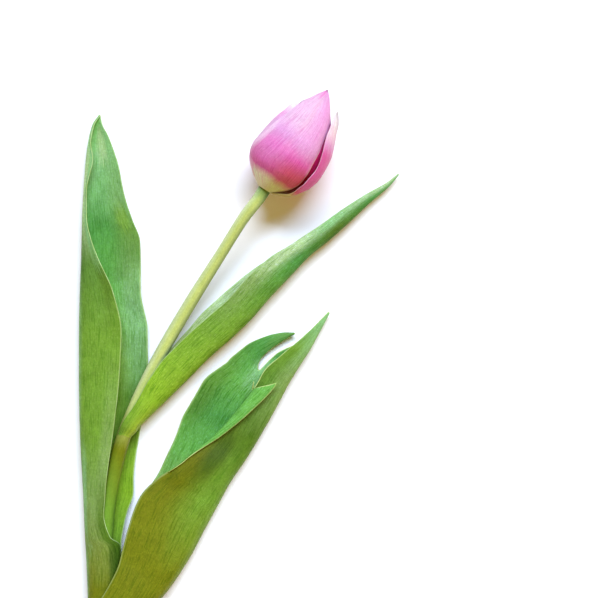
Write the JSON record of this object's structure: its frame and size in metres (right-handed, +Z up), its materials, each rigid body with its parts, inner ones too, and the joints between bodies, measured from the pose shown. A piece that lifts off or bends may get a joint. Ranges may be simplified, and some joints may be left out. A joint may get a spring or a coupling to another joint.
{
  "type": "cut tulip",
  "caption": "Cut tulip lying on its side: a closed bud on a curved stem, with clasping leaves folded along their length.",
  "frame": {"origin": "centre of the bounding box, on the surface that the flower lies on", "axes": "+Y from the cut end of the stem towards the flower, +Z up from the surface"},
  "size_m": [0.1628, 0.3664, 0.0391],
  "materials": {
    "stem": "satin, yellow-green to olive",
    "leaf": "waxy, fine lengthwise veins",
    "petal": "silky, pale towards the margins",
    "pistil": "matt, pale green",
    "anther": "dusty, near black"
  },
  "bodies": {
    "root": {"stem": "stem", "leaf_left": "leaf", "leaf_upper": "leaf", "leaf_right": "leaf", "tepal_outer_front": "petal", "tepal_outer_right": "petal", "tepal_outer_left": "petal", "tepal_inner_right": "petal", "tepal_inner_left": "petal", "tepal_inner_back": "petal", "pistil": "pistil", "filament_1": "pistil", "filament_2": "pistil", "filament_3": "pistil", "filament_4": "pistil", "filament_5": "pistil", "filament_6": "pistil", "anther_1": "anther", "anther_2": "anther", "anther_3": "anther", "anther_4": "anther", "anther_5": "anther", "anther_6": "anther"}
  },
  "joints": []
}
